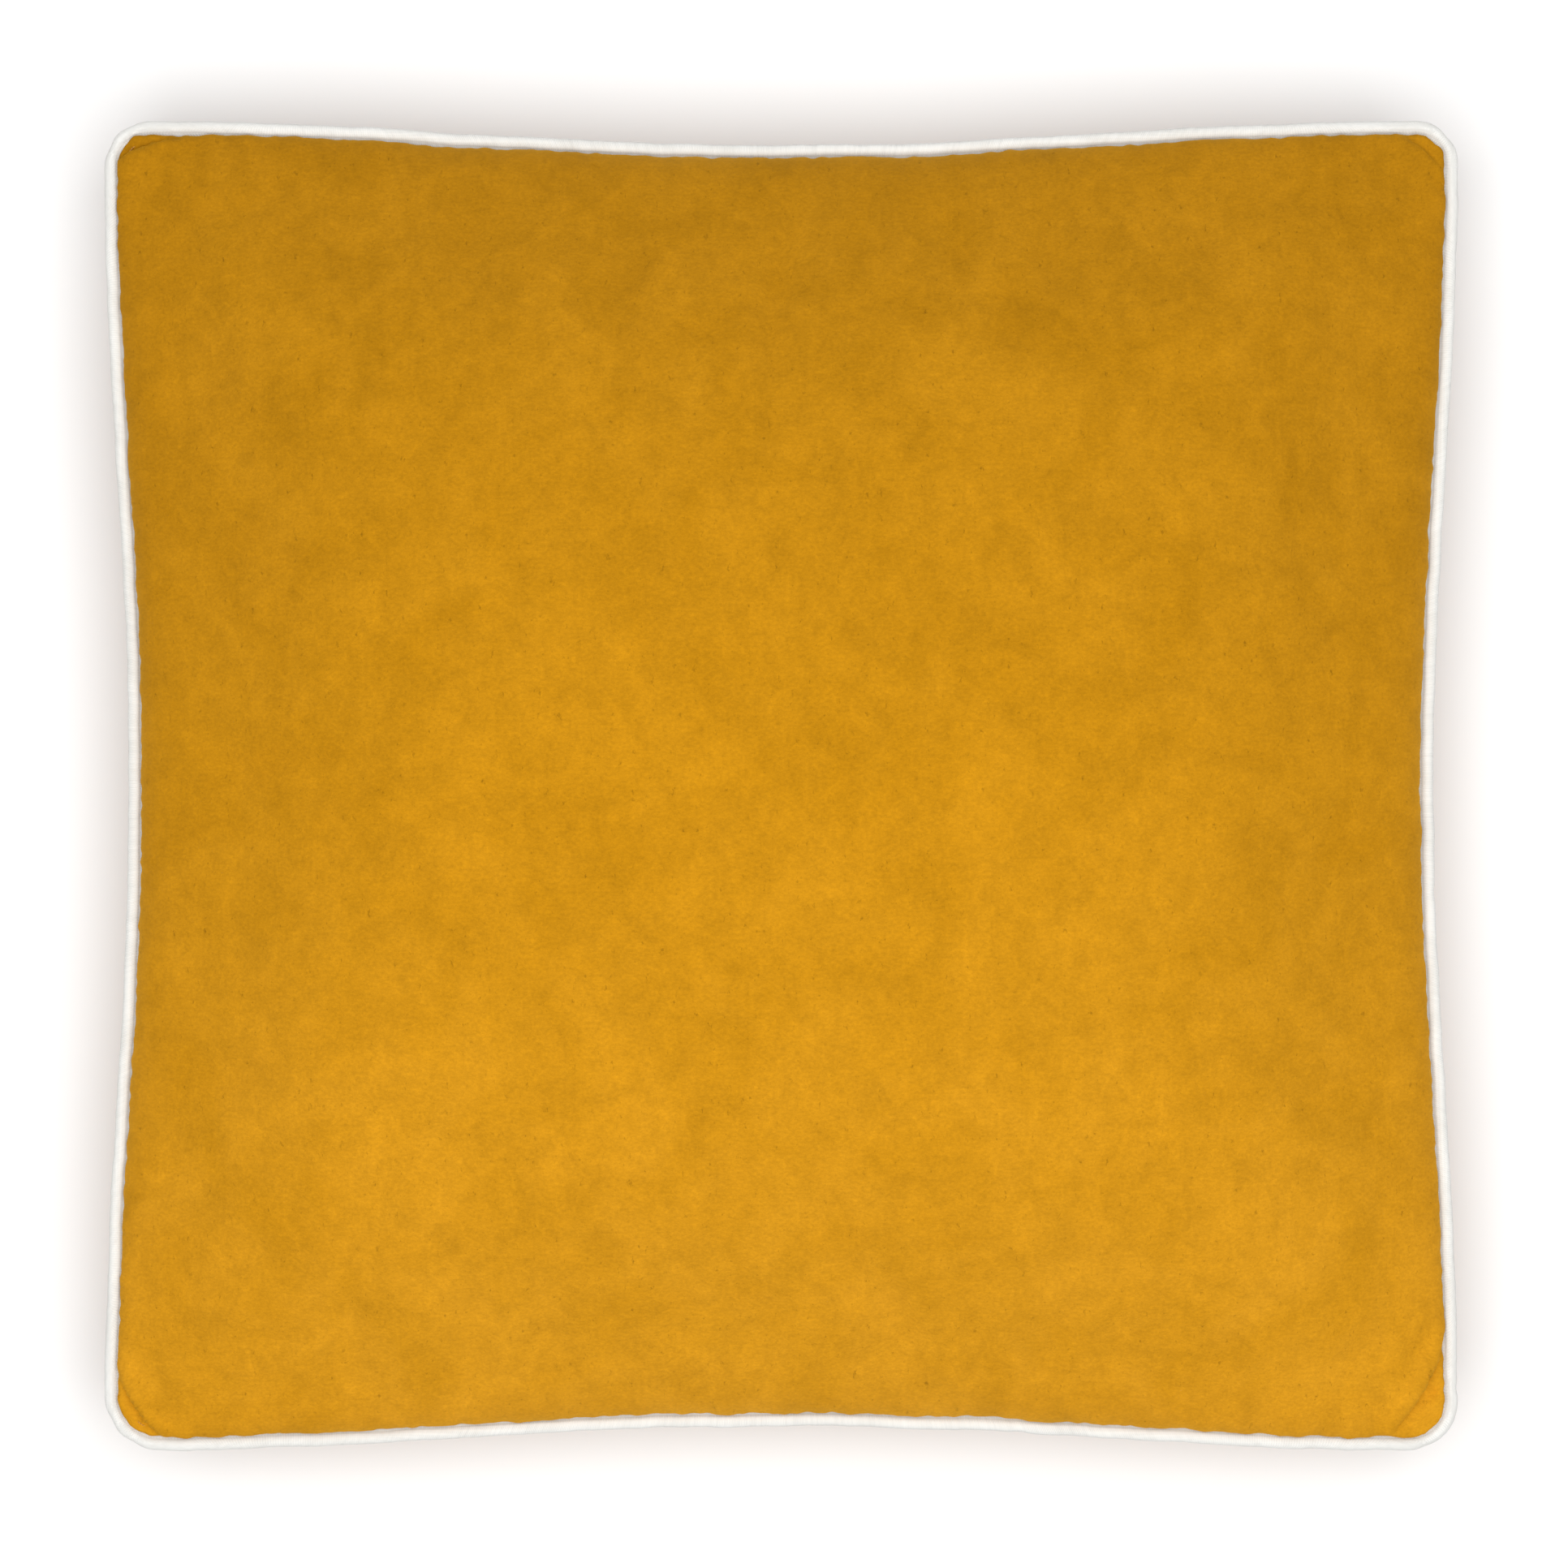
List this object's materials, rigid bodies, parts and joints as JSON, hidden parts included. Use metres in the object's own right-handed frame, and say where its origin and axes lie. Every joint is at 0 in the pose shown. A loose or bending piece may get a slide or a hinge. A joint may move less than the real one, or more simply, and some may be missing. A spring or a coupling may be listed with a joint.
{
  "type": "throw pillow",
  "caption": "Square velvet throw pillow with a contrasting piped edge, a zipped cover and a fibre-filled insert, lying on its back.",
  "frame": {"origin": "on the ground under the middle of the pillow, lying on its back", "axes": "+Z out of the pillow's front, +Y towards its top edge, +X towards the right of someone who faces the front"},
  "size_m": [0.5078, 0.4988, 0.15],
  "materials": {
    "velvet": "matte",
    "piping_cloth": "matte",
    "cotton": "matte",
    "ochre_thread": "satin",
    "white_thread": "satin",
    "zip_tape": "matte",
    "zip_nylon": "satin",
    "zip_metal": "satin",
    "ticking": "matte",
    "fibre": "matte",
    "label": "satin"
  },
  "bodies": {
    "cushion": {"front_panel": "velvet", "back_panel": "velvet", "back_strip": "velvet", "piping_cover": "piping_cloth", "piping_cord": "cotton", "cover_needle_thread": "ochre_thread", "cover_bobbin_thread": "ochre_thread", "zip_tape_upper": "zip_tape", "zip_tape_lower": "zip_tape", "zip_coil_upper": "zip_nylon", "zip_coil_lower": "zip_nylon", "zip_bottom_stop": "zip_metal", "zip_top_stop_upper": "zip_metal", "zip_top_stop_lower": "zip_metal", "zip_topstitch_upper": "ochre_thread", "zip_topstitch_lower": "ochre_thread", "zip_bartack_left": "ochre_thread", "zip_bartack_right": "ochre_thread", "insert_shell_front": "ticking", "insert_shell_back": "ticking", "insert_needle_thread": "white_thread", "insert_bobbin_thread": "white_thread", "insert_filling": "fibre", "care_label": "label", "insert_tag": "label"},
    "slider": {"zip_slider": "zip_metal"},
    "pull": {"zip_pull": "zip_metal"}
  },
  "joints": [
    {"name": "zip_slide", "type": "slide", "parent": "cushion", "child": "slider", "axis": [-1, 0, 0], "range_m": [0, 0.3335], "deforming": ["zip_coil_upper", "zip_coil_lower"]},
    {"name": "pull_swing", "type": "hinge", "parent": "slider", "child": "pull", "pos_m": [0.16695, -0.2159, 0.01545], "axis": [0, -0.766, 0.6428], "range_deg": [-85, 85]}
  ]
}
